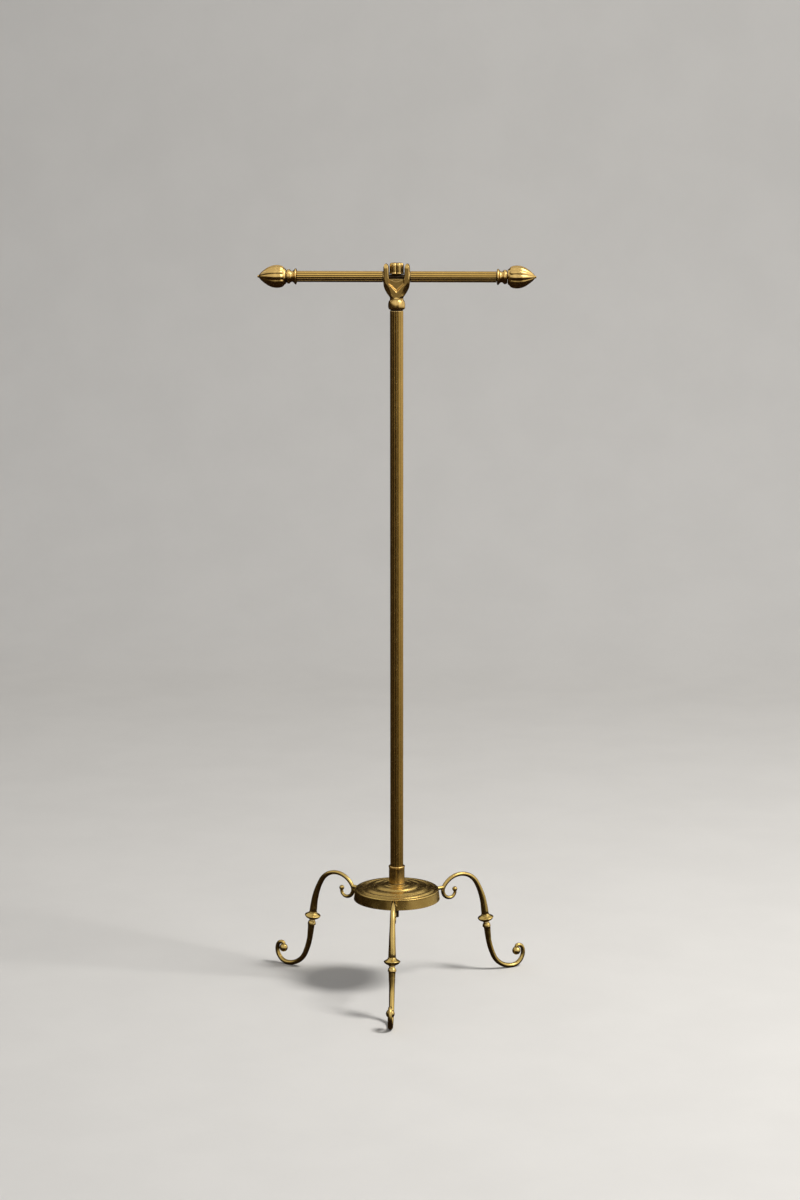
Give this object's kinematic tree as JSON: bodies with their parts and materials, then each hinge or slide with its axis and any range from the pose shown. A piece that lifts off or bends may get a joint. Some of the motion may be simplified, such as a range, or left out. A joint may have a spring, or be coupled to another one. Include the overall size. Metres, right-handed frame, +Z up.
{
  "type": "banner stand",
  "caption": "Free-standing banner stand: scroll-legged tripod, domed turned disc, reeded column, and a reeded crossbar with bud finials that swivels and clamps under a fluted thumb knob.",
  "frame": {"origin": "on the floor, at the middle of the stand's outline seen from above; the column's axis stands 54 mm behind it, at Y = 0.054", "axes": "+Z up along the column, +X along the crossbar, -Y towards the front leg"},
  "size_m": [0.3966, 0.3305, 1.0679],
  "materials": {
    "antique_brass": "antique brass, turned and reeded, rubbed bright on the ridges with brown patina in the grooves",
    "dark_steel": "dark plain steel, dull"
  },
  "bodies": {
    "stand": {"base_disc": "antique_brass", "base_collar": "antique_brass", "column_tube": "antique_brass", "column_foot_plug": "dark_steel", "tie_rod": "dark_steel", "tie_washer": "dark_steel", "tie_nut": "dark_steel", "leg_arm_front": "antique_brass", "leg_foot_front": "antique_brass", "leg_knop_front": "antique_brass", "leg_screw_front": "dark_steel", "leg_arm_right": "antique_brass", "leg_foot_right": "antique_brass", "leg_knop_right": "antique_brass", "leg_screw_right": "dark_steel", "leg_arm_left": "antique_brass", "leg_foot_left": "antique_brass", "leg_knop_left": "antique_brass", "leg_screw_left": "dark_steel", "column_top_plug": "dark_steel"},
    "head": {"yoke": "antique_brass", "core_rod": "dark_steel", "bar_tube_right": "antique_brass", "bar_tube_left": "antique_brass"},
    "clamp_washer": {"thumb_washer": "dark_steel"},
    "clamp_screw": {"thumb_screw": "antique_brass"},
    "end_collar_right": {"finial_collar_right": "antique_brass"},
    "end_bud_right": {"finial_bud_right": "antique_brass"},
    "end_collar_left": {"finial_collar_left": "antique_brass"},
    "end_bud_left": {"finial_bud_left": "antique_brass"}
  },
  "joints": [
    {"name": "head_swivel", "type": "hinge", "parent": "stand", "child": "head", "pos_m": [0, 0.054, 1.048], "axis": [0, 0, 1], "continuous": true},
    {"name": "thumb_lift", "type": "slide", "parent": "head", "child": "clamp_washer", "axis": [0, 0, 1], "range_m": [0, 0.004]},
    {"name": "thumb_turn", "type": "hinge", "parent": "clamp_washer", "child": "clamp_screw", "pos_m": [0, 0.054, 1.048], "axis": [0, 0, 1], "range_deg": [0, 1800]},
    {"name": "finial_slide_right", "type": "slide", "parent": "head", "child": "end_collar_right", "axis": [1, 0, 0], "range_m": [0, 0.006]},
    {"name": "finial_turn_right", "type": "hinge", "parent": "end_collar_right", "child": "end_bud_right", "pos_m": [0.1575, 0.054, 1.048], "axis": [1, 0, 0], "range_deg": [0, 2160]},
    {"name": "finial_slide_left", "type": "slide", "parent": "head", "child": "end_collar_left", "axis": [-1, 0, 0], "range_m": [0, 0.006]},
    {"name": "finial_turn_left", "type": "hinge", "parent": "end_collar_left", "child": "end_bud_left", "pos_m": [-0.1575, 0.054, 1.048], "axis": [-1, 0, 0], "range_deg": [0, 2160]}
  ],
  "couplings": [
    {"joint": "thumb_turn", "follows": "thumb_lift", "rad_per_m": 7850},
    {"joint": "finial_turn_right", "follows": "finial_slide_right", "rad_per_m": 6283},
    {"joint": "finial_turn_left", "follows": "finial_slide_left", "rad_per_m": 6283}
  ]
}
